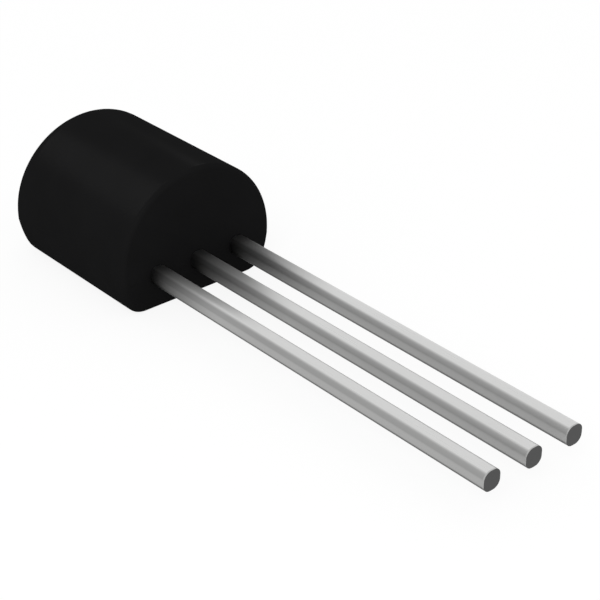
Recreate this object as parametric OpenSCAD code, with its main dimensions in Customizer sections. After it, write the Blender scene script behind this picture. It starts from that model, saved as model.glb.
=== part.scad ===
// Shunt regulator in a three-lead through-hole package.
// A moulded epoxy body with one flat side holds three stamped leads, the chip and its bond wires.
// The part lies on its flat: X runs along the leads to their tips, Y across them and Z up.
// The origin is on the middle lead's axis, where it leaves the body. The mould parts at Z = 0.

/* [Moulded body] */
// Diameter of the round side
body_d = 4.7; // [4.5:0.05:5.2]
// Depth from the flat to the top of the round side
body_depth = 3.55; // [3.3:0.05:4]
// Length from the lead face to the far end, at the parting line
body_len = 5.26; // [5:0.01:5.6]
// Rounding of the two long edges of the flat
flat_edge_r = 0.6; // [0.3:0.05:0.8]
// Rounding of the edge round the far end
end_fillet = 0.55; // [0.2:0.05:0.7]
// Rounding of the edge round the lead face
mouth_fillet = 0.12; // [0.04:0.01:0.2]
// Mould draft of the far end, on the flat half
end_draft_flat = 10; // [0:0.5:12]
// Mould draft of the far end, on the round half
end_draft_round = 3; // [0:0.5:5]
// Mould draft of the lead face, on the flat half
mouth_draft_flat = 3; // [0:0.5:5]
// Mould draft of the lead face, on the round half
mouth_draft_round = 0; // [0:0.5:3]

/* [Leads] */
// Distance between neighbouring leads
lead_pitch = 1.27; // [1.2:0.01:1.35]
// Width of a lead, across the row
lead_w = 0.49; // [0.44:0.01:0.56]
// Thickness of a lead, which is that of the strip it is stamped from
lead_t = 0.51; // [0.44:0.01:0.56]
// Rounding of a lead's long edges
lead_edge_r = 0.2; // [0.1:0.01:0.21]
// Length of the leads outside the body
lead_len = 11.6; // [3:0.05:15]
// Broken edge round each lead's tip
tip_chamfer = 0.04; // [0.02:0.01:0.08]
// Height of the leads' axes, where the mould parts, above the flat
lead_h = 0.98; // [0.8:0.01:1.2]

/* [Lead heads inside the body] */
// Length of the chip pad, along the leads
pad_len = 1.6; // [1.3:0.05:1.9]
// Width of the chip pad
pad_w = 1.5; // [1.2:0.05:1.6]
// Plastic between the chip pad and the far end
pad_cover = 1.2; // [1:0.05:1.5]
// Length of the wire posts on the two outer leads
post_len = 1; // [0.7:0.05:1.3]
// Width of the wire posts
post_w = 0.66; // [0.6:0.02:0.8]
// How far the posts are set outwards from the middle of their leads
post_offset = 0.08; // [0:0.01:0.12]
// How far the posts lie behind the lead face
post_depth = 2.4; // [2:0.05:2.8]
// Radius of the notches that lock each lead in the plastic
lock_r = 0.1; // [0.05:0.01:0.14]
// Depth of the notches behind the lead face
lock_depth = 0.9; // [0.5:0.05:1.2]

/* [Chip and wires] */
// Length and width of the chip
chip_w = 0.95; // [0.7:0.05:1]
// Thickness of the chip
chip_t = 0.25; // [0.15:0.01:0.35]
// Thickness of the solder that holds the chip
solder_t = 0.03; // [0.02:0.01:0.06]
// Width of solder showing round the chip
solder_margin = 0.05; // [0.02:0.01:0.08]
// Diameter of the bond wires
wire_d = 0.03; // [0.025:0.005:0.05]
// Distance of the bonds from the chip's edge
bond_inset = 0.15; // [0.1:0.01:0.25]
// Diameter of the ball where a wire starts on the chip
ball_d = 0.09; // [0.07:0.01:0.12]
// Height of that ball
ball_h = 0.03; // [0.02:0.005:0.04]
// Spread of the two outer wires, from the chip's middle line
wire_spread = 0.2; // [0.1:0.01:0.3]
// Distance from the chip's edge to the middle wire's far end, on the neck of its lead
neck_bond_gap = 0.5; // [0.4:0.05:0.7]
// Half the angle that a wire's arc turns through
wire_arc = 55; // [50:1:60]
// Diameter of the foot that a wire is pressed into at its far end
foot_d = 0.07; // [0.06:0.01:0.1]
// Height of that foot
foot_h = 0.015; // [0.01:0.005:0.03]

/* [Hidden] */

body_r = body_d / 2;
round_z = body_depth - lead_h - body_r;    // height of the round side's axis
corner_r = max(flat_edge_r, end_fillet);
corner_z = corner_r - lead_h;
corner_y = sqrt((body_r - corner_r) ^ 2 - (corner_z - round_z) ^ 2); // the corners touch the circle inside
round_low = round_z + body_r * (corner_z - round_z) / (body_r - corner_r); // where circle and corners meet
lead_top = lead_t / 2;
pad_end = -body_len + pad_cover;
chip_x = pad_end + pad_len / 2;
chip_seat = lead_top + solder_t;
chip_top = chip_seat + chip_t;
cathode_y = -lead_pitch;
reference_y = lead_pitch;
round_fn = 120;
fillet_fn = 32;
wire_fn = 32;
eps = 0.05;                                // how far cutters reach past a face

// ---- moulded body ----

// Turns a shape that stands on the XY plane so that it lies along +X: its X becomes Y and its Y becomes Z.
module along_x() {
    rotate([90, 0, 90]) children();
}

// Slides an end rim to its place, and leans it as the mould's draft leans the end.
module drafted(x, slope) {
    multmatrix([[1, 0, slope, x], [0, 1, 0, 0], [0, 0, 1, 0]]) children();
}

// A disc of radius r in the YZ plane with a full round edge.
module rounded_disc(r, edge_r, fn) {
    along_x()
        rotate_extrude($fn = fn)
            intersection() {
                translate([r - edge_r, 0]) circle(edge_r, $fn = fillet_fn);
                translate([0, -edge_r]) square([r, 2 * edge_r]);
            }
}

// The part of a rim that lies between two heights.
module rim_between(edge_r, low, high) {
    intersection() {
        children();
        translate([-edge_r, -body_r, low]) cube([2 * edge_r, body_d, high - low]);
    }
}

module round_rim(edge_r) {
    translate([0, 0, round_z]) rounded_disc(body_r, edge_r, round_fn);
}

// The rim of the upper mould half at one end.
module upper_rim(edge_r) {
    rim_between(edge_r, 0, body_depth) round_rim(edge_r);
}

// The rim of the lower mould half: the round side runs on below the parting line to the flat's corners.
module lower_rim(edge_r) {
    rim_between(edge_r, round_low, 0) round_rim(edge_r);
    for (side = [-1, 1])
        rim_between(edge_r, -lead_h, 0)
            translate([0, side * corner_y, corner_z])
                rounded_disc(corner_r, edge_r, fillet_fn * 2);
}

// The outside of the moulding: the rims of both halves at both ends, drawn together.
module body_envelope() {
    hull() {
        drafted(-body_len + end_fillet, tan(end_draft_round)) upper_rim(end_fillet);
        drafted(-body_len + end_fillet, -tan(end_draft_flat)) lower_rim(end_fillet);
        drafted(-mouth_fillet, -tan(mouth_draft_round)) upper_rim(mouth_fillet);
        drafted(-mouth_fillet, tan(mouth_draft_flat)) lower_rim(mouth_fillet);
    }
}

module moulded_body() {
    color([0.1, 0.1, 0.105])
        difference() {
            body_envelope();
            anode_lead();
            cathode_lead();
            reference_lead();
            chip_solder();
            regulator_chip();
            anode_wire();
            cathode_wire();
            reference_wire();
        }
}

// ---- leads ----

// A rectangle with its corners rounded.
module rounded_rectangle(w, h, r) {
    square([w - 2 * r, h], center = true);
    square([w, h - 2 * r], center = true);
    for (x = [-1, 1], y = [-1, 1])
        translate([x * (w / 2 - r), y * (h / 2 - r)]) circle(r, $fn = fillet_fn);
}

// A slab w long in X that narrows in Y, from h at its foot by c on each side at its top.
module tapered_slab(w, h, c) {
    rotate([90, 0, 90])
        linear_extrude(w, center = true)
            polygon([[-h / 2, 0], [h / 2, 0], [h / 2 - c, c], [c - h / 2, c]]);
}

// The chamfered end of a rounded bar: the rectangle above, narrowing by c all round over the height c.
module chamfered_end(w, h, r, c) {
    tapered_slab(w - 2 * r, h, c);
    rotate([0, 0, 90]) tapered_slab(h - 2 * r, w, c);
    for (x = [-1, 1], y = [-1, 1])
        translate([x * (w / 2 - r), y * (h / 2 - r), 0])
            cylinder(r1 = r, r2 = r - c, h = c, $fn = fillet_fn);
}

// The straight blade of a lead, from the given depth in the body to the tip, with its two locking notches.
module lead_blade(y, depth) {
    blade_len = depth + lead_len - tip_chamfer;
    difference() {
        translate([-depth, y, 0])
            along_x() {
                linear_extrude(blade_len) rounded_rectangle(lead_w, lead_t, lead_edge_r);
                translate([0, 0, blade_len]) chamfered_end(lead_w, lead_t, lead_edge_r, tip_chamfer);
            }
        for (side = [-1, 1])
            translate([-lock_depth, y + side * lead_w / 2, -lead_t / 2 - eps])
                cylinder(r = lock_r, h = lead_t + 2 * eps, $fn = wire_fn);
    }
}

// A flat head of strip thickness, with its near edge at -depth.
module lead_head(y, depth, len, w) {
    translate([-depth - len, y - w / 2, -lead_t / 2]) cube([len, w, lead_t]);
}

// An outer lead: its head is the post that a bond wire ends on.
module post_lead(y) {
    color([0.8, 0.8, 0.79]) {
        lead_blade(y, post_depth + post_len / 2);
        lead_head(y + sign(y) * post_offset, post_depth, post_len, post_w);
    }
}

// The middle lead carries the chip.
module anode_lead() {
    color([0.8, 0.8, 0.79]) {
        lead_blade(0, -chip_x);
        lead_head(0, -pad_end - pad_len, pad_len, pad_w);
    }
}

module cathode_lead() {
    post_lead(cathode_y);
}

module reference_lead() {
    post_lead(reference_y);
}

// ---- chip ----

module chip_solder() {
    w = chip_w + 2 * solder_margin;
    color([0.6, 0.6, 0.58])
        translate([chip_x - w / 2, -w / 2, lead_top]) cube([w, w, solder_t]);
}

module regulator_chip() {
    color([0.35, 0.38, 0.45])
        translate([chip_x - chip_w / 2, -chip_w / 2, chip_seat]) cube([chip_w, chip_w, chip_t]);
}

// ---- bond wires ----

// A wire from a ball on the chip at (x, y) to a foot at (x_end, y_end) on the strip below.
// It follows one arc, and its far end is cut off level with the strip.
module bond_wire(x, y, x_end, y_end) {
    span = norm([x_end - x, y_end - y]);
    start_h = chip_top + ball_h / 2;
    drop = start_h - lead_top;
    arc_r = norm([span, drop]) / (2 * sin(wire_arc));
    takeoff = wire_arc - atan(drop / span);
    sweep = 2 * wire_arc + asin(wire_d / arc_r);
    color([0.9, 0.75, 0.3])
        translate([x, y, 0])
            rotate([0, 0, atan2(y_end - y, x_end - x)]) {
                translate([0, 0, chip_top]) cylinder(d = ball_d, h = ball_h, $fn = wire_fn);
                translate([span, 0, lead_top]) cylinder(d = foot_d, h = foot_h, $fn = wire_fn);
                intersection() {
                    translate([arc_r * sin(takeoff), 0, start_h - arc_r * cos(takeoff)])
                        rotate([90, 0, 0])
                            rotate([0, 0, 90 + takeoff - sweep])
                                rotate_extrude(angle = sweep, $fn = round_fn)
                                    translate([arc_r, 0]) circle(d = wire_d, $fn = wire_fn);
                    translate([-wire_d, -wire_d, lead_top])
                        cube([span + arc_r, 2 * wire_d, drop + arc_r]);
                }
            }
}

module anode_wire() {
    x = chip_x + chip_w / 2;
    bond_wire(x - bond_inset, 0, x + neck_bond_gap, 0);
}

module post_wire(y) {
    bond_wire(chip_x + wire_spread, sign(y) * (chip_w / 2 - bond_inset),
              -post_depth - post_len / 2, y + sign(y) * post_offset);
}

module cathode_wire() {
    post_wire(cathode_y);
}

module reference_wire() {
    post_wire(reference_y);
}

moulded_body();
anode_lead();
cathode_lead();
reference_lead();
regulator_chip();
chip_solder();
anode_wire();
cathode_wire();
reference_wire();
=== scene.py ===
"""Looks of a through-hole shunt regulator: a black moulded body lying on its flat, and three tinned leads.

Laid out as an add-on: property groups hold the sizes and colours, and operators make the pieces and stage.
"""

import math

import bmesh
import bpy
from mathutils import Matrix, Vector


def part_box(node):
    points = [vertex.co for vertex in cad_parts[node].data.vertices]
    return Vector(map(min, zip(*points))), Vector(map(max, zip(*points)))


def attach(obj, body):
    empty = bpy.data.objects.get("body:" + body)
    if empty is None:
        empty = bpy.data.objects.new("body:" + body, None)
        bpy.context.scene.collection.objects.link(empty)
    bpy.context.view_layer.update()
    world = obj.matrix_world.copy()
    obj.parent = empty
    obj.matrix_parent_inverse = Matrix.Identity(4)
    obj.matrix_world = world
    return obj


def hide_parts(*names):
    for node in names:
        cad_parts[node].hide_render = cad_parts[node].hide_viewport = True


bl_info = {
    "name": "Shunt regulator",
    "version": (1, 0, 0),
    "blender": (4, 5, 0),
    "location": "View3D > Sidebar > Regulator",
    "description": "Builds a three-lead shunt regulator around its packed frame",
    "category": "Add Mesh",
}

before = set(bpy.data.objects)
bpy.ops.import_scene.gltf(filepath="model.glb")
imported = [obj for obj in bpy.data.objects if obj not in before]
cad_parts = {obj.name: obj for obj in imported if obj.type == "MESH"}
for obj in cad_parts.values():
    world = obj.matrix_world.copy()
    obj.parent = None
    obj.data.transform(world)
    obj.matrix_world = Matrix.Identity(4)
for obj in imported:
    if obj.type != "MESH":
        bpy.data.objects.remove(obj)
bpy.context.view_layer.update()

MM = 0.001      # a millimetre, in metres
QUARTER = math.pi / 2
STEEPEST_DRAFT = math.radians(20)
BODY_LOW, BODY_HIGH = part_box("moulded_body")
LEAD_LOW, LEAD_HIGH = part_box("anode_lead")
LEADS = {"cathode_lead": -1, "anode_lead": 0, "reference_lead": 1}      # and each one's place in the row
WIRES = ("anode_wire", "cathode_wire", "reference_wire")


# ---- sizes and colours ----

def length(name, description, default):
    """A size that can be changed, in metres."""
    return bpy.props.FloatProperty(
        name=name, description=description, default=default, unit="LENGTH", subtype="DISTANCE",
        min=0.0, precision=6,
    )


def draft(name, description, degrees):
    """A draft angle of the mould that can be changed."""
    return bpy.props.FloatProperty(
        name=name, description=description, default=math.radians(degrees), unit="ROTATION", subtype="ANGLE",
        min=0.0, max=STEEPEST_DRAFT,
    )


def colour(name, description, default):
    """A colour that can be changed."""
    return bpy.props.FloatVectorProperty(
        name=name, description=description, default=default, subtype="COLOR", size=3, min=0.0, max=1.0,
    )


class RegulatorBody(bpy.types.PropertyGroup):
    """Sizes and colours of the moulded body"""
    diameter: length("Diameter", "Diameter of the round side", BODY_HIGH.y - BODY_LOW.y)
    top: length("Top", "Height of the round side above the parting line", BODY_HIGH.z)
    flat_drop: length("Flat drop", "Depth of the flat below the parting line", -BODY_LOW.z)
    body_length: length("Length", "Length from the lead face to the far end", BODY_HIGH.x - BODY_LOW.x)
    flat_edge: length("Flat edge", "Rounding of the flat's two long edges", 0.6 * MM)
    end_fillet: length("End fillet", "Rounding of the edge round the far end", 0.55 * MM)
    mouth_fillet: length("Mouth fillet", "Rounding of the edge round the lead face", 0.12 * MM)
    end_draft_flat: draft("End draft, flat half", "Mould draft of the far end below the parting line", 10)
    end_draft_round: draft("End draft, round half", "Mould draft of the far end above the parting line", 3)
    mouth_draft: draft("Mouth draft", "Mould draft of the lead face below the parting line", 3)
    flash: length("Flash", "Height of the line that the mould halves leave", 0.002 * MM)
    epoxy: colour("Epoxy", "Colour of the moulding compound", (0.0083, 0.0083, 0.0085))
    # Painted highlight: a paler colour laid in patches on the rim round the lead face.
    highlighted: colour("Painted rim highlight", "Colour of the compound where its rim is rubbed", (0.018, 0.018, 0.018))


class RegulatorLeads(bpy.types.PropertyGroup):
    """Sizes and colours of the three leads"""
    pitch: length("Pitch", "Distance between neighbouring leads", 1.27 * MM)
    width: length("Width", "Width of a lead, across the row", 0.49 * MM)
    thickness: length("Thickness", "Thickness of the stamped strip", LEAD_HIGH.z - LEAD_LOW.z)
    corner: length("Corner", "Rounding of a lead's long edges", 0.2 * MM)
    reach: length("Reach", "Length of the leads outside the body", LEAD_HIGH.x)
    tip_edge: length("Tip edge", "Broken edge round each lead's tip", 0.04 * MM)
    notch_radius: length("Notch radius", "Radius of the notches that lock a lead in the plastic", 0.1 * MM)
    notch_depth: length("Notch depth", "Depth of the notches behind the lead face", 0.9 * MM)
    pad_length: length("Pad length", "Length of the chip pad", 1.6 * MM)
    post_length: length("Post length", "Length of the wire posts", 1.0 * MM)
    tin: colour("Tin", "Colour of the tin on the rolled faces", (0.65, 0.65, 0.645))
    # The edges' colour is painted shade, set by which way a face turns; the sides' colour is partly duller
    # sheared tin and partly painted shade.
    tin_edge_shade: colour("Tin, edges", "Colour of the tin on the rounded edges", (0.365, 0.365, 0.362))
    tin_side: colour("Tin, sides", "Colour of the tin on the sheared sides", (0.465, 0.465, 0.461))
    # Painted shade on the leads near the body, with its reach on each lead.
    root_shade: colour("Root shade", "What is left of the tin's brightness at the body", (0.18, 0.18, 0.18))
    root_shade_reach: length("Root shade reach", "How far the painted shade goes from the body", 4.2 * MM)
    root_shade_reach_cathode: length("Root shade reach, cathode", "The same for the cathode's lead", 2.9 * MM)
    rough_reach: length("Rough reach", "How far the rougher tin goes from the body", 4.8 * MM)
    wiped_reach: length("Wiped reach", "How far the tin that the mould kept smooth goes", 0.8 * MM)
    cut_end: colour("Cut end", "Colour of the bare metal at the cut tips", (0.085, 0.085, 0.085))


class RegulatorInside(bpy.types.PropertyGroup):
    """Colours of the pieces sealed in the body"""
    silicon: colour("Silicon", "Colour of the chip", (0.2, 0.22, 0.27))
    solder: colour("Solder", "Colour of the solder under the chip", (0.5, 0.5, 0.48))
    gold: colour("Gold", "Colour of the bond wires", (0.9, 0.68, 0.25))


class RegulatorStage(bpy.types.PropertyGroup):
    """Size and colours of the floor"""
    floor: colour("Floor", "Colour of the floor", (0.85, 0.85, 0.85))
    shown_share: bpy.props.FloatProperty(
        name="Shadow share", description="How much of the floor's shown brightness a shadow can take away",
        default=0.12, min=0.0, max=1.0,
    )
    floor_size: length("Floor size", "Side of the floor", 0.5)


# ---- helpers for materials ----

def new_material(name):
    """A material with its tree and its shader, as (material, node tree, shader)."""
    material = bpy.data.materials.new(name)
    material.use_nodes = True
    tree = material.node_tree
    return material, tree, tree.nodes["Principled BSDF"]


def link(tree, source, target):
    """Links one socket to another."""
    tree.links.new(source, target)


def fit(tree, node, inputs):
    """Sets or links a node's inputs, which go by name or number."""
    for key, value in inputs.items():
        if isinstance(value, bpy.types.NodeSocket):
            link(tree, value, node.inputs[key])
        else:
            node.inputs[key].default_value = value


def add(tree, kind, inputs=None, **settings):
    """A node of that kind. Its settings are attributes, and its inputs are values or sockets."""
    node = tree.nodes.new(kind)
    for key, value in settings.items():
        setattr(node, key, value)
    fit(tree, node, inputs or {})
    return node


def attribute(tree, name):
    """A number that the mesh keeps for each of its points."""
    return add(tree, "ShaderNodeAttribute", attribute_name=name).outputs["Fac"]


def object_coordinates(tree, scale=(1, 1, 1)):
    """The piece's own coordinates, times a scale along each axis."""
    place = add(tree, "ShaderNodeTexCoord").outputs["Object"]
    return add(tree, "ShaderNodeMapping", {"Vector": place, "Scale": scale}).outputs["Vector"]


def noise(tree, vector, scale=1.0, detail=3.0, roughness=0.5):
    """Noise over those coordinates, from 0 to 1."""
    inputs = {"Vector": vector, "Scale": scale, "Detail": detail, "Roughness": roughness}
    return add(tree, "ShaderNodeTexNoise", inputs).outputs["Fac"]


def ramp(tree, source, stops, interpolation="LINEAR"):
    """A ramp over a value. Its stops are (place, grey level) or (place, colour)."""
    node = add(tree, "ShaderNodeValToRGB", {"Fac": source})
    node.color_ramp.interpolation = interpolation
    elements = node.color_ramp.elements
    while len(elements) < len(stops):
        elements.new(0.5)
    for element, (place, value) in zip(elements, stops):
        element.position = place
        element.color = (value, value, value, 1) if isinstance(value, float) else (*value, 1)
    return node.outputs["Color"]


def mixed(tree, share, a, b, kind="RGBA", blend="MIX"):
    """Goes from a to b as share goes from 0 to 1. Each is a socket or a value."""
    node = add(tree, "ShaderNodeMix", data_type=kind, blend_type=blend)
    ending = "Color" if kind == "RGBA" else "Float"
    places = {socket.identifier: number for number, socket in enumerate(node.inputs)}
    fit(tree, node, {places["Factor_Float"]: share, places[f"A_{ending}"]: a, places[f"B_{ending}"]: b})
    return next(socket for socket in node.outputs if socket.identifier == f"Result_{ending}")


def between(tree, share, a, b):
    """Goes from one number to another as share goes from 0 to 1."""
    return mixed(tree, share, a, b, kind="FLOAT")


def dimmed(tree, a, b):
    """One colour times another."""
    return mixed(tree, 1.0, a, b, blend="MULTIPLY")


def fading(tree, value, reach):
    """A number that falls smoothly from 1 where the value is 0 to 0 where it is reach."""
    inputs = {"Value": value, "From Min": 0.0, "From Max": reach, "To Min": 1.0, "To Max": 0.0}
    return add(tree, "ShaderNodeMapRange", inputs, interpolation_type="SMOOTHSTEP").outputs["Result"]


def bump(tree, shader, height, distance, strength):
    """Gives the shader's surface a fine relief."""
    relief = add(tree, "ShaderNodeBump", {"Height": height, "Distance": distance, "Strength": strength})
    link(tree, relief.outputs["Normal"], shader.inputs["Normal"])


def tinted(base, share):
    """A colour made lighter or darker."""
    return tuple(min(1.0, channel * share) for channel in base)


# ---- finishes ----
# A pattern's scale says how many of its features fit in a metre.

MOTTLE = {"scale": 900, "detail": 2.0}
MOTTLE_DEEP, MOTTLE_PALE = (0.3, 0.95), (0.7, 1.06)     # place in the noise, and share of the colour
# Patches of the painted rim highlight.
HIGHLIGHT_PATCHING = {"scale": 450, "detail": 1.0}
HIGHLIGHT_PATCHES = ((0.52, 0.0), (0.66, 1.0))
EPOXY_GRAIN = {"scale": 26000, "detail": 4.0, "roughness": 0.6}
EPOXY_ROUGHNESS = (0.55, 0.70)
EPOXY_RELIEF = {"distance": 0.0015 * MM, "strength": 0.5}
EPOXY_SKIN, EPOXY_SKIN_ROUGHNESS = 0.007, 0.25          # the faint gloss that the mould leaves

DRAWN = (300, 30000, 30000)                 # along X, Y and Z: drawing marks run along the lead
PLATING = (700, 2500, 2500)
PLATING_DETAIL = 2.0
PLATING_THIN, PLATING_FULL = (0.96, 0.96, 0.96, 1), (1.0, 1.0, 1.0, 1)
FACE_STOPS = (0.42, 0.66, 0.96, 1.0)        # how far a face turns sideways: rolled face, edge, edge, side; the edges get painted shade, the sides partly painted shade
SHEARED_STOPS = ((0.5, 0.0), (0.8, 1.0))    # how far it turns sideways, and how much of it is sheared
UNDERSIDE_SHADE_STOPS = ((0.12, 1.0), (0.42, 0.45))    # painted shade on the underside: how far it turns down, and what is left of its brightness
SATIN_ROUGHNESS = (0.24, 0.34)
SHEARED_ROUGHNESS = 0.68
ROOT_ROUGHNESS = 0.60       # near the body
WIPED_ROUGHNESS = 0.42      # right at the body, where the mould kept it smooth
TIP_ROUGHNESS = 0.5
TIN_RELIEF = {"distance": 0.001 * MM, "strength": 0.35}

SEALED_SHADES = (0.9, 1.08)             # shares of a sealed piece's colour, darkest and lightest
SEALED_ROUGHNESS = (0.85, 1.15)         # and of its roughness
SEALED_RELIEF = {"distance": 0.001 * MM, "strength": 0.3}
SILICON = {"metallic": 0.0, "roughness": 0.2, "scale": 20000}
SOLDER = {"metallic": 1.0, "roughness": 0.45, "scale": 30000}
GOLD = {"metallic": 1.0, "roughness": 0.25, "scale": 60000}


def epoxy_finish(base, highlighted):
    """Black moulding compound: fine matt texture with faint mottling, and a painted highlight in patches on
    the rim round the lead face.
    """
    material, tree, shader = new_material("epoxy_moulding")
    place = object_coordinates(tree)
    stops = [(where, tinted(base, share)) for where, share in (MOTTLE_DEEP, MOTTLE_PALE)]
    compound = ramp(tree, noise(tree, place, **MOTTLE), stops)
    patches = ramp(tree, noise(tree, place, **HIGHLIGHT_PATCHING), HIGHLIGHT_PATCHES)
    # Painted highlight: the rim is made paler in patches.
    painted_highlight = between(tree, attribute(tree, "rim_highlight_share"), 0.0, patches)
    grain = noise(tree, place, **EPOXY_GRAIN)
    fit(tree, shader, {
        "Base Color": mixed(tree, painted_highlight, compound, (*highlighted, 1)),
        "Roughness": between(tree, grain, *EPOXY_ROUGHNESS),
        "Specular IOR Level": 0.0,
        "Coat Weight": EPOXY_SKIN,
        "Coat Roughness": EPOXY_SKIN_ROUGHNESS,
    })
    bump(tree, shader, grain, **EPOXY_RELIEF)
    return material


def tin_finish(name, leads, root_shade_reach):
    """Satin tin: bright on the rolled faces, with painted shade on the rounded edges, on the underside and
    near the body; the sheared sides are partly duller tin and partly painted shade; bare at the tips.
    """
    material, tree, shader = new_material(name)
    side = attribute(tree, "side_share")
    tip = attribute(tree, "tip_share")
    along = add(tree, "ShaderNodeSeparateXYZ", {0: object_coordinates(tree)}).outputs["X"]

    # Painted shade: the rounded edges and sheared sides are darker, by which way they face.
    shades = (leads.tin, leads.tin_edge_shade, leads.tin_edge_shade, leads.tin_side)
    plate_and_shade = ramp(tree, side, list(zip(FACE_STOPS, shades)))
    # The broken tip edge takes the sides' colour, which is partly painted shade.
    plate_and_shade = mixed(tree, attribute(tree, "bevel_share"), plate_and_shade, (*leads.tin_side, 1))
    patches = noise(tree, object_coordinates(tree, PLATING), detail=PLATING_DETAIL)
    shaded_tin = dimmed(tree, plate_and_shade, mixed(tree, patches, PLATING_THIN, PLATING_FULL))
    # Painted shade on the underside, darker as a face turns down.
    shaded_tin = dimmed(tree, shaded_tin, ramp(tree, attribute(tree, "under_share"), UNDERSIDE_SHADE_STOPS, "EASE"))
    # Painted shade near the body: the tin darkens towards the root.
    root_shaded = dimmed(tree, shaded_tin, (*leads.root_shade, 1))
    shaded_tin = mixed(tree, fading(tree, along, root_shade_reach), shaded_tin, root_shaded)

    drawn = noise(tree, object_coordinates(tree, DRAWN))
    rough = between(tree, drawn, *SATIN_ROUGHNESS)
    rough = between(tree, ramp(tree, side, SHEARED_STOPS, "EASE"), rough, SHEARED_ROUGHNESS)
    rough = between(tree, fading(tree, along, leads.rough_reach), rough, ROOT_ROUGHNESS)
    rough = between(tree, fading(tree, along, leads.wiped_reach), rough, WIPED_ROUGHNESS)
    fit(tree, shader, {
        "Base Color": mixed(tree, tip, shaded_tin, (*leads.cut_end, 1)),
        "Metallic": 1.0,
        "Roughness": between(tree, tip, rough, TIP_ROUGHNESS),
    })
    bump(tree, shader, drawn, **TIN_RELIEF)
    return material


def sealed_finish(name, base, metallic, roughness, scale):
    """A finish for a sealed piece: a colour with slight grain, relief and roughness of its own."""
    material, tree, shader = new_material(name)
    grain = noise(tree, object_coordinates(tree), scale)
    dark, light = [(*tinted(base, share), 1) for share in SEALED_SHADES]
    smooth, coarse = [roughness * share for share in SEALED_ROUGHNESS]
    fit(tree, shader, {
        "Base Color": mixed(tree, grain, dark, light),
        "Metallic": metallic,
        "Roughness": between(tree, grain, smooth, coarse),
    })
    bump(tree, shader, grain, **SEALED_RELIEF)
    return material


# ---- helpers for meshes ----

KEEN = math.radians(35)     # edges that bend by more are sharp
MERGE_IN_METRES = 1e-7      # points nearer than this are one
MERGE_IN_MM = 1e-6          # the same in a mesh that is in millimetres


def plain_mesh(name, vertices, faces):
    """A checked mesh of those vertices and faces."""
    mesh = bpy.data.meshes.new(name)
    mesh.from_pydata(vertices, [], faces)
    mesh.validate()
    mesh.update()
    return mesh


def make_outward(mesh):
    """Turns every face of a closed mesh outwards. The mesh is in millimetres."""
    grid = bmesh.new()
    grid.from_mesh(mesh)
    bmesh.ops.remove_doubles(grid, verts=grid.verts, dist=MERGE_IN_MM)
    bmesh.ops.recalc_face_normals(grid, faces=grid.faces)
    if any(not edge.is_manifold for edge in grid.edges):
        raise RuntimeError(f"{mesh.name} is not closed")
    if grid.calc_volume(signed=True) < 0:
        bmesh.ops.reverse_faces(grid, faces=grid.faces)
    grid.to_mesh(mesh)
    grid.free()


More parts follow.
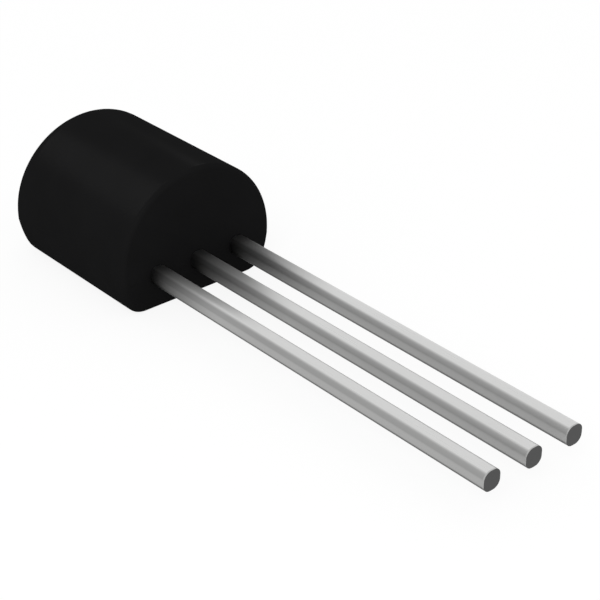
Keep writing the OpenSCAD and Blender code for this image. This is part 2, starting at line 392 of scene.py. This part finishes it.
class Tree:
    """A Geometry Nodes tree in the making: named inputs, nodes by short calls, and one output."""

    def __init__(self, name):
        self.group = bpy.data.node_groups.new(name, "GeometryNodeTree")
        self.group.is_modifier = True
        self.interface = self.group.interface
        self.interface.new_socket("Geometry", in_out="INPUT", socket_type="NodeSocketGeometry")
        self.interface.new_socket("Geometry", in_out="OUTPUT", socket_type="NodeSocketGeometry")
        self.start = self.group.nodes.new("NodeGroupInput")
        self.end = self.group.nodes.new("NodeGroupOutput")

    def input(self, name, kind="Float"):
        """An input of the tree, as the socket that gives its value."""
        made = self.interface.new_socket(name, in_out="INPUT", socket_type=f"NodeSocket{kind}")
        return next(socket for socket in self.start.outputs if socket.identifier == made.identifier)

    def node(self, kind, inputs=None, **settings):
        """The first output of a new node, which is all that most of them have."""
        return add(self.group, kind, inputs, **settings).outputs[0]

    def math(self, operation, *values):
        """A calculation on one or two numbers."""
        return self.node("ShaderNodeMath", dict(enumerate(values)), operation=operation)

    def plus(self, a, b):
        return self.math("ADD", a, b)

    def minus(self, a, b):
        return self.math("SUBTRACT", a, b)

    def times(self, a, b):
        return self.math("MULTIPLY", a, b)

    def over(self, a, b):
        return self.math("DIVIDE", a, b)

    def vector(self, x=0.0, y=0.0, z=0.0):
        """A point or a size from its three numbers."""
        return self.node("ShaderNodeCombineXYZ", {"X": x, "Y": y, "Z": z})

    def moved(self, geometry, place):
        """The geometry set off by a vector."""
        return self.node("GeometryNodeTransform", {"Geometry": geometry, "Translation": place})

    def scaled(self, geometry, scale):
        """The geometry made larger or smaller about the origin."""
        return self.node("GeometryNodeTransform", {"Geometry": geometry, "Scale": (scale, scale, scale)})

    def boolean(self, operation, solids):
        """A boolean node whose second input takes these solids."""
        made = add(self.group, "GeometryNodeMeshBoolean", operation=operation, solver="MANIFOLD")
        for solid in solids:
            link(self.group, solid, made.inputs[1])
        return made

    def joined(self, *solids):
        """Solids made one."""
        return self.boolean("UNION", solids).outputs[0]

    def cut(self, solid, *cutters):
        """A solid less the cutters."""
        made = self.boolean("DIFFERENCE", cutters)
        link(self.group, solid, made.inputs[0])
        return made.outputs[0]

    def smoothed(self, geometry):
        """Smooth shading with the keen edges left sharp."""
        bend = self.node("GeometryNodeInputMeshEdgeAngle")
        keen = self.node("FunctionNodeCompare", {0: bend, 1: KEEN}, operation="GREATER_THAN")
        smooth = self.node("GeometryNodeSetShadeSmooth", {"Geometry": geometry, "Shade Smooth": True})
        inputs = {"Geometry": smooth, "Selection": keen, "Shade Smooth": False}
        return self.node("GeometryNodeSetShadeSmooth", inputs, domain="EDGE")

    def stored(self, geometry, name, value):
        """The geometry with a number kept for each of its points."""
        inputs = {"Geometry": geometry, "Name": name, "Value": value}
        return self.node("GeometryNodeStoreNamedAttribute", inputs, data_type="FLOAT", domain="POINT")

    def finish(self, geometry):
        """Ends the tree: back to metres, made real, and given its material."""
        real = self.node("GeometryNodeRealizeInstances", {"Geometry": self.scaled(geometry, MM)})
        inputs = {"Geometry": real, "Material": self.input("Material", "Material")}
        link(self.group, self.node("GeometryNodeSetMaterial", inputs), self.end.inputs[0])


def grown(name, group, values, mesh=None):
    """An object with the plain mesh that a Geometry Nodes tree makes of these named values, and of a mesh.
    The tree works in millimetres, because its booleans need sizes that aren't tiny."""
    made = bpy.data.objects.new(name, mesh or bpy.data.meshes.new(name))
    bpy.context.scene.collection.objects.link(made)
    modifier = made.modifiers.new("rule", "NODES")
    modifier.node_group = group
    sockets = {s.name: s.identifier for s in group.interface.items_tree if s.in_out == "INPUT"}
    for key, value in values.items():
        modifier[sockets[key]] = value / MM if isinstance(value, float) else value
    made.update_tag()
    bpy.context.view_layer.update()
    mesh = bpy.data.meshes.new_from_object(made.evaluated_get(bpy.context.evaluated_depsgraph_get()))
    made.modifiers.clear()
    made.data = mesh
    mesh.name = name
    if not mesh.polygons:
        raise RuntimeError(f"{name} came out empty")
    return made


# ---- leads ----

BAR_STEPS = 14
TIP_STEPS = 6
CORNER_POINTS = 10
NOTCH_SIDES = 32
BEVEL_SPAN = 0.9        # in tip edges: what is nearer to the tip than this is bevel
TIP_SPAN = 0.01         # and what is nearer than this is the cut itself


def strip_name(node):
    """The name of the piece that replaces a lead's node."""
    return node.replace("_lead", "_strip")


def lead_tree():
    """The rule of a lead: a rounded bar with a broken tip edge, a head inside the body and two notches."""
    t = Tree("stamped_lead")
    root, reach = t.input("Root depth"), t.input("Reach")
    width, thickness = t.input("Width"), t.input("Thickness")
    corner, tip = t.input("Corner radius"), t.input("Tip edge")
    row_y = t.input("Place in row")
    head_x, head_length = t.input("Head start"), t.input("Head length")
    head_width, head_y = t.input("Head width"), t.input("Head place")
    notch_r, notch_x = t.input("Notch radius"), t.input("Notch depth")

    # The bar's points: the straight run first, and then the quarter turn that breaks the tip's edge.
    index = t.node("GeometryNodeInputIndex")
    share = t.math("MINIMUM", t.over(index, float(BAR_STEPS)), 1.0)
    past = t.math("MAXIMUM", t.minus(index, float(BAR_STEPS)), 0.0)
    turn = t.times(past, QUARTER / TIP_STEPS)
    straight = t.minus(t.plus(root, reach), tip)
    x = t.minus(t.plus(t.times(share, straight), t.times(tip, t.math("SINE", turn))), root)
    inset = t.times(t.minus(1.0, t.math("COSINE", turn)), tip)
    size = t.minus(1.0, t.over(inset, t.times(width, 0.5)))
    line = t.node("GeometryNodeCurvePrimitiveLine", {"End": (1, 0, 0)})
    path = t.node("GeometryNodeResampleCurve", {"Curve": line, "Count": BAR_STEPS + TIP_STEPS + 1})
    path = t.node("GeometryNodeSetPosition", {"Geometry": path, "Position": t.vector(x, row_y)})
    path = t.node("GeometryNodeSetCurveRadius", {"Curve": path, "Radius": size})
    section = t.node("GeometryNodeCurvePrimitiveQuadrilateral", {"Width": width, "Height": thickness})
    corners = {"Curve": section, "Radius": corner, "Count": CORNER_POINTS}
    section = t.node("GeometryNodeFilletCurve", corners, mode="POLY")
    bar = t.node("GeometryNodeCurveToMesh", {"Curve": path, "Profile Curve": section, "Fill Caps": True})

    head = t.node("GeometryNodeMeshCube", {"Size": t.vector(head_length, head_width, thickness)})
    head = t.moved(head, t.vector(t.plus(head_x, t.times(head_length, 0.5)), head_y))
    whole = t.joined(bar, head)
    through = {"Vertices": NOTCH_SIDES, "Radius": notch_r, "Depth": t.times(thickness, 2.0)}
    cutter = t.node("GeometryNodeMeshCylinder", through)
    back = t.times(notch_x, -1.0)
    edges = [t.plus(row_y, t.times(width, side)) for side in (-0.5, 0.5)]
    notched = t.cut(whole, *[t.moved(cutter, t.vector(back, edge)) for edge in edges])

    # What the tin's finish needs to know of each point.
    facing = add(t.group, "ShaderNodeSeparateXYZ", {0: t.node("GeometryNodeInputNormal")}).outputs
    here = add(t.group, "ShaderNodeSeparateXYZ", {0: t.node("GeometryNodeInputPosition")}).outputs
    from_tip = t.over(t.minus(reach, here["X"]), tip)
    shaped = t.smoothed(notched)
    shaped = t.stored(shaped, "side_share", t.math("ABSOLUTE", facing["Y"]))
    shaped = t.stored(shaped, "under_share", t.times(facing["Z"], -1.0))
    shaped = t.stored(shaped, "bevel_share", t.math("LESS_THAN", from_tip, BEVEL_SPAN))
    shaped = t.stored(shaped, "tip_share", t.math("LESS_THAN", from_tip, TIP_SPAN))
    t.finish(shaped)
    return t.group


class REGULATOR_OT_leads(bpy.types.Operator):
    """Makes the three stamped leads, each with its head and locking notches inside the body"""
    bl_idname = "regulator.leads"
    bl_label = "Leads"

    def execute(self, context):
        sizes = context.scene.regulator_leads
        tree = lead_tree()
        inner = tin_finish("tinned_strip", sizes, sizes.root_shade_reach)
        outer = tin_finish("tinned_strip_cathode", sizes, sizes.root_shade_reach_cathode)
        for node, place in LEADS.items():
            low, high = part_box(node)
            head = sizes.post_length if place else sizes.pad_length
            piece = grown(strip_name(node), tree, {
                "Root depth": -low.x - head / 2, "Reach": sizes.reach, "Width": sizes.width,
                "Thickness": sizes.thickness, "Corner radius": sizes.corner, "Tip edge": sizes.tip_edge,
                "Place in row": place * sizes.pitch, "Head start": low.x, "Head length": head,
                "Head width": high.y - low.y, "Head place": (high.y + low.y) / 2,
                "Notch radius": sizes.notch_radius, "Notch depth": sizes.notch_depth,
                "Material": outer if node == "cathode_lead" else inner,
            })
            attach(piece, "root")
            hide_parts(node)
        return {"FINISHED"}


# ---- sealed pieces ----

def dress(node, material):
    """Gives a CAD node its finish."""
    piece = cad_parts[node]
    piece.data.materials.clear()
    piece.data.materials.append(material)


class REGULATOR_OT_inside(bpy.types.Operator):
    """Gives the chip, its solder and the bond wires their finishes"""
    bl_idname = "regulator.inside"
    bl_label = "Chip, solder and wires"

    def execute(self, context):
        inside = context.scene.regulator_inside
        dress("regulator_chip", sealed_finish("polished_silicon", inside.silicon, **SILICON))
        dress("chip_solder", sealed_finish("dull_solder", inside.solder, **SOLDER))
        gold = sealed_finish("drawn_gold", inside.gold, **GOLD)
        for node in WIRES:
            dress(node, gold)
        return {"FINISHED"}


# ---- moulded body ----

ARC_STEPS = 54          # on each side of the top, where a facet and not a point lies
CORNER_STEPS = 14
FILLET_STEPS = 10
SIDE_RINGS = 6
SUPPORT = 0.02 * MM     # width of the narrow faces that keep a flat face's shading flat
FLASH_HALF = 0.03 * MM  # half the width of the line that the mould halves leave
FAR_END, LEAD_FACE = -1, 1          # the two ends, each by the way that it faces along X
RIM_HIGHLIGHT_MIDDLE, RIM_HIGHLIGHT_HALF = 0.8, 0.3     # where the painted rim highlight is and half its width, in mouth fillets


def half_section(sizes, level):
    """One side's points (y, z) from top to flat, all inset by level, and the parting line's index."""
    radius = sizes.diameter / 2
    axis_z = sizes.top - radius
    corner_z = sizes.flat_edge - sizes.flat_drop
    corner_y = math.sqrt((radius - sizes.flat_edge) ** 2 - (corner_z - axis_z) ** 2)
    meeting = math.atan2(corner_z - axis_z, corner_y)   # where the round side runs into the flat's corner
    r, corner = radius - level, sizes.flat_edge - level
    line = [math.asin((z - axis_z) / r) for z in (FLASH_HALF, 0, -FLASH_HALF)]

    # Even steps down the round side, less those that come too near the parting line at any inset.
    step = (QUARTER - meeting) / ARC_STEPS
    turns = [QUARTER - (k + 0.5) * step for k in range(ARC_STEPS)]
    too_near = step / 3
    above = math.asin((FLASH_HALF - axis_z) / radius) + too_near
    below = math.asin((-FLASH_HALF - axis_z) / (radius - sizes.end_fillet - SUPPORT)) - too_near
    turns = [turn for turn in turns if turn > above] + line + [turn for turn in turns if turn < below]
    points = [(r * math.cos(turn), axis_z + r * math.sin(turn)) for turn in turns]
    for k in range(CORNER_STEPS + 1):
        turn = meeting - (QUARTER + meeting) * k / CORNER_STEPS
        points.append((corner_y + corner * math.cos(turn), corner_z + corner * math.sin(turn)))
    points.append((corner_y - SUPPORT, level - sizes.flat_drop))
    return points, turns.index(line[1])


def body_rings(sizes):
    """The body's rings from the far end to the lead face. A ring is one side's points (x, y, z)."""

    def lean(z, end):
        """How far along X the draft moves an end's face at that height."""
        if end == FAR_END:
            return abs(z) * math.tan(sizes.end_draft_round if z > 0 else sizes.end_draft_flat)
        return z * math.tan(sizes.mouth_draft) if z < 0 else 0.0

    def ring(x, level, end, flash):
        """A ring at x, inset by level, with its point on the parting line raised that way."""
        points, parting = half_section(sizes, level)
        made = [Vector((x + lean(z, end), y, z)) for y, z in points]
        made[parting] += Vector(flash) * sizes.flash
        return made

    def rim(x, fillet, end):
        """The rings of an end's rolled edge, from inside its face out to the sides."""
        made = [ring(x, fillet + SUPPORT, end, (end, 0, 0))]
        for k in range(FILLET_STEPS, -1, -1):
            turn = QUARTER * k / FILLET_STEPS
            sine, cosine = math.sin(turn), math.cos(turn)
            place, level = x - end * fillet * (1 - sine), fillet * (1 - cosine)
            made.append(ring(place, level, end, (end * sine, cosine, 0)))
        return made

    far = rim(sizes.flash - sizes.body_length, sizes.end_fillet, FAR_END)
    mouth = rim(0, sizes.mouth_fillet, LEAD_FACE)
    run = sizes.body_length - sizes.end_fillet - sizes.mouth_fillet
    shares = [SUPPORT / run, *[k / SIDE_RINGS for k in range(1, SIDE_RINGS)], 1 - SUPPORT / run]
    sides = [[a.lerp(b, share) for a, b in zip(far[-1], mouth[-1])] for share in shares]
    return far + sides + mouth[::-1]


def closed_skin(rings):
    """The vertices, in millimetres, and the faces that the rings and their mirrored half give."""
    n = len(rings[0])
    right = [v / MM for ring in rings for v in ring]
    vertices = right + [Vector((v.x, -v.y, v.z)) for v in right]
    half = len(right)
    faces = []
    for start in range(0, half - n, n):
        for a in range(start, start + n - 1):
            b, c, d = a + 1, a + n + 1, a + n
            faces.append((a, b, c, d))
            faces.append((half + d, half + c, half + b, half + a))
        top, low = start, start + n - 1
        faces.append((top, top + n, half + top + n, half + top))
        faces.append((low + n, low, half + low, half + low + n))
    last = half - n
    for j in range(n - 1):
        faces.append((j, half + j, half + j + 1, j + 1))
        faces.append((last + j, last + j + 1, half + last + j + 1, half + last + j))
    return vertices, faces


def keep_rim_highlight(mesh, sizes):
    """Keeps for each point how near it is to the middle of the rim round the lead face, where the painted
    highlight goes.
    """
    fillet = sizes.mouth_fillet / MM
    depths = [v.co.x - min(0, v.co.z) * math.tan(sizes.mouth_draft) for v in mesh.vertices]
    highlight_on_rim = [max(0.0, 1 - abs(depth / fillet + RIM_HIGHLIGHT_MIDDLE) / RIM_HIGHLIGHT_HALF) for depth in depths]
    mesh.attributes.new("rim_highlight_share", "FLOAT", "POINT").data.foreach_set("value", highlight_on_rim)


def moulding_tree(inner):
    """The rule of the moulding: its outside, in millimetres, less everything that it holds."""
    t = Tree("moulded_round_leads")
    cutters = []
    for name in inner:
        held = add(t.group, "GeometryNodeObjectInfo", {"Object": t.input(name, "Object")})
        merging = {"Geometry": held.outputs["Geometry"], "Distance": MERGE_IN_METRES}
        whole = t.node("GeometryNodeMergeByDistance", merging)
        cutters.append(t.scaled(whole, 1 / MM))
    t.finish(t.smoothed(t.cut(t.start.outputs[0], *cutters)))
    return t.group


class REGULATOR_OT_body(bpy.types.Operator):
    """Makes the moulded body: two drafted mould halves with rolled end rims and the line between them"""
    bl_idname = "regulator.body"
    bl_label = "Moulded body"

    def execute(self, context):
        sizes = context.scene.regulator_body
        mesh = plain_mesh("epoxy_body", *closed_skin(body_rings(sizes)))
        make_outward(mesh)
        keep_rim_highlight(mesh, sizes)
        inner = [*[strip_name(node) for node in LEADS], "regulator_chip", "chip_solder", *WIRES]
        values = {name: bpy.data.objects[name] for name in inner}
        values["Material"] = epoxy_finish(sizes.epoxy, sizes.highlighted)
        made = grown("epoxy_body", moulding_tree(inner), values, mesh)
        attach(made, "root")
        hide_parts("moulded_body")
        return {"FINISHED"}


# ---- stage ----

CAMERA = {
    "azimuth": 49.52, "elevation": 29.61,       # degrees
    "distance": 39.5,                           # millimetres back from LOOK_AT
    "right": -0.012, "up": 0.003,               # millimetres: how far off the view's middle LOOK_AT lies
    "focal": 1651.4,                            # pixels
}
LOOK_AT = Vector((4.0, 0, 0.52)) * MM
IMAGE = 600             # pixels across
SENSOR = 36.0           # millimetres across
CLIP = (0.001, 10)      # metres

FLOOR_ROUGHNESS = 0.9
WORLD_STRENGTH = 0.86
WHITE = (1, 1, 1, 1)
LAMP_DISTANCE = 0.12    # metres, as a lamp's side is; its power is in watts
STRIP_X = -0.66         # how far along X the camera's mirror image in the round side looks
KEY_BOX = {"toward": (0.45, -0.6, 0.66), "side": 0.05, "power": 0.04}
WIDE_STRIP = {"turn": 66, "side": 0.08, "power": 0.19}
NARROW_STRIP = {"turn": 143, "side": 0.018, "power": 0.030}


def white_for_shown_rays(tree, output, lit, white):
    """Makes the output white to the camera and in reflections, and lit as it is for other light."""
    path = add(tree, "ShaderNodeLightPath").outputs
    shown = between(tree, path["Is Camera Ray"], path["Is Glossy Ray"], 1.0)
    shown = between(tree, path["Is Transmission Ray"], shown, 1.0)
    mix = add(tree, "ShaderNodeMixShader", {"Fac": shown, 1: lit, 2: white})
    link(tree, mix.outputs[0], tree.nodes[output].inputs["Surface"])


def pale_floor(scene, sizes):
    """The floor under the flat. It shows mostly its own white, with a share of light for the shadow."""
    material, tree, shader = new_material("pale_floor")
    fit(tree, shader, {
        "Base Color": (*sizes.floor, 1), "Roughness": FLOOR_ROUGHNESS, "Specular IOR Level": 0.0})
    share = sizes.shown_share
    pale = add(tree, "ShaderNodeBsdfDiffuse", {"Color": (share, share, share, 1)})
    glow = add(tree, "ShaderNodeEmission", {"Strength": 1 - share})
    lifted = add(tree, "ShaderNodeAddShader", {0: pale.outputs[0], 1: glow.outputs[0]})
    white_for_shown_rays(tree, "Material Output", shader.outputs[0], lifted.outputs[0])
    half, z = sizes.floor_size / 2, BODY_LOW.z
    corners = [(-half, -half, z), (half, -half, z), (half, half, z), (-half, half, z)]
    mesh = plain_mesh("floor", corners, [(0, 1, 2, 3)])
    mesh.materials.append(material)
    floor = bpy.data.objects.new("floor", mesh)
    scene.collection.objects.link(floor)


def studio_world(scene):
    """Even light from all round, behind a plain white."""
    world = bpy.data.worlds.new("studio")
    scene.world = world
    world.use_nodes = True
    tree = world.node_tree
    lit = tree.nodes["Background"]
    fit(tree, lit, {"Color": WHITE, "Strength": WORLD_STRENGTH})
    white = add(tree, "ShaderNodeBackground", {"Color": WHITE, "Strength": 1.0})
    white_for_shown_rays(tree, "World Output", lit.outputs[0], white.outputs[0])


def soft_light(name, toward, side, power):
    """A square lamp with that side, in the given direction from the part and facing it."""
    lamp = bpy.data.lights.new(name, "AREA")
    lamp.shape = "RECTANGLE"
    lamp.size, lamp.size_y = side, side
    lamp.energy = power
    made = bpy.data.objects.new(name, lamp)
    bpy.context.scene.collection.objects.link(made)
    away = Vector(toward).normalized()
    made.location = LOOK_AT + away * LAMP_DISTANCE
    made.rotation_euler = away.to_track_quat("Z", "Y").to_euler()
    made.visible_camera = False
    return made


def body_strip(name, turn, side, power):
    """A lamp that shows as a soft lengthwise gleam on the round side, and lights nothing else."""
    turn = math.radians(turn)
    spread = math.sqrt(1 - STRIP_X ** 2)
    toward = (STRIP_X, -spread * math.cos(turn), spread * math.sin(turn))
    made = soft_light(name, toward, side, power)
    made.visible_diffuse = False
    made.light_linking.receiver_collection = bpy.data.collections["body_only"]


def camera_in_place(scene):
    """The camera, turned to its azimuth and elevation and set back from the part."""
    az, el = math.radians(CAMERA["azimuth"]), math.radians(CAMERA["elevation"])
    back = Vector((math.sin(az) * math.cos(el), -math.cos(az) * math.cos(el), math.sin(el)))
    right = Vector((math.cos(az), math.sin(az), 0))
    up = back.cross(right)
    data = bpy.data.cameras.new("camera")
    data.sensor_width = SENSOR
    data.lens = CAMERA["focal"] / IMAGE * SENSOR
    data.clip_start, data.clip_end = CLIP
    camera = bpy.data.objects.new("camera", data)
    scene.collection.objects.link(camera)
    away = back * CAMERA["distance"] - right * CAMERA["right"] - up * CAMERA["up"]
    turned = Matrix((right, up, back)).transposed().to_4x4()
    camera.matrix_world = Matrix.Translation(LOOK_AT + away * MM) @ turned
    scene.camera = camera


class REGULATOR_OT_stage(bpy.types.Operator):
    """Makes the pale floor, the soft light and the camera"""
    bl_idname = "regulator.stage"
    bl_label = "Stage"

    def execute(self, context):
        scene = context.scene
        scene.view_settings.view_transform = "Standard"
        pale_floor(scene, scene.regulator_stage)
        studio_world(scene)
        soft_light("key_box", **KEY_BOX)
        body_only = bpy.data.collections.new("body_only")
        body_only.objects.link(bpy.data.objects["epoxy_body"])
        body_strip("wide_strip", **WIDE_STRIP)
        body_strip("narrow_strip", **NARROW_STRIP)
        camera_in_place(scene)
        return {"FINISHED"}


# ---- panel ----

PARTS = (
    (RegulatorBody, "regulator_body", REGULATOR_OT_body),
    (RegulatorLeads, "regulator_leads", REGULATOR_OT_leads),
    (RegulatorInside, "regulator_inside", REGULATOR_OT_inside),
    (RegulatorStage, "regulator_stage", REGULATOR_OT_stage),
)


class REGULATOR_PT_panel(bpy.types.Panel):
    """Lists the regulator's pieces and their sizes"""
    bl_idname = "REGULATOR_PT_panel"
    bl_label = "Shunt regulator"
    bl_space_type = "VIEW_3D"
    bl_region_type = "UI"
    bl_category = "Regulator"

    def draw(self, context):
        for kind, group, operator in PARTS:
            box = self.layout.box()
            box.operator(operator.bl_idname)
            for key in kind.__annotations__:
                box.prop(getattr(context.scene, group), key)


def register():
    for kind, group, operator in PARTS:
        bpy.utils.register_class(kind)
        bpy.utils.register_class(operator)
        setattr(bpy.types.Scene, group, bpy.props.PointerProperty(type=kind))
    bpy.utils.register_class(REGULATOR_PT_panel)


def unregister():
    bpy.utils.unregister_class(REGULATOR_PT_panel)
    for kind, group, operator in reversed(PARTS):
        delattr(bpy.types.Scene, group)
        bpy.utils.unregister_class(operator)
        bpy.utils.unregister_class(kind)


def main():
    register()
    bpy.ops.regulator.leads()
    bpy.ops.regulator.inside()
    bpy.ops.regulator.body()
    bpy.ops.regulator.stage()


if __name__ == "__main__":
    main()
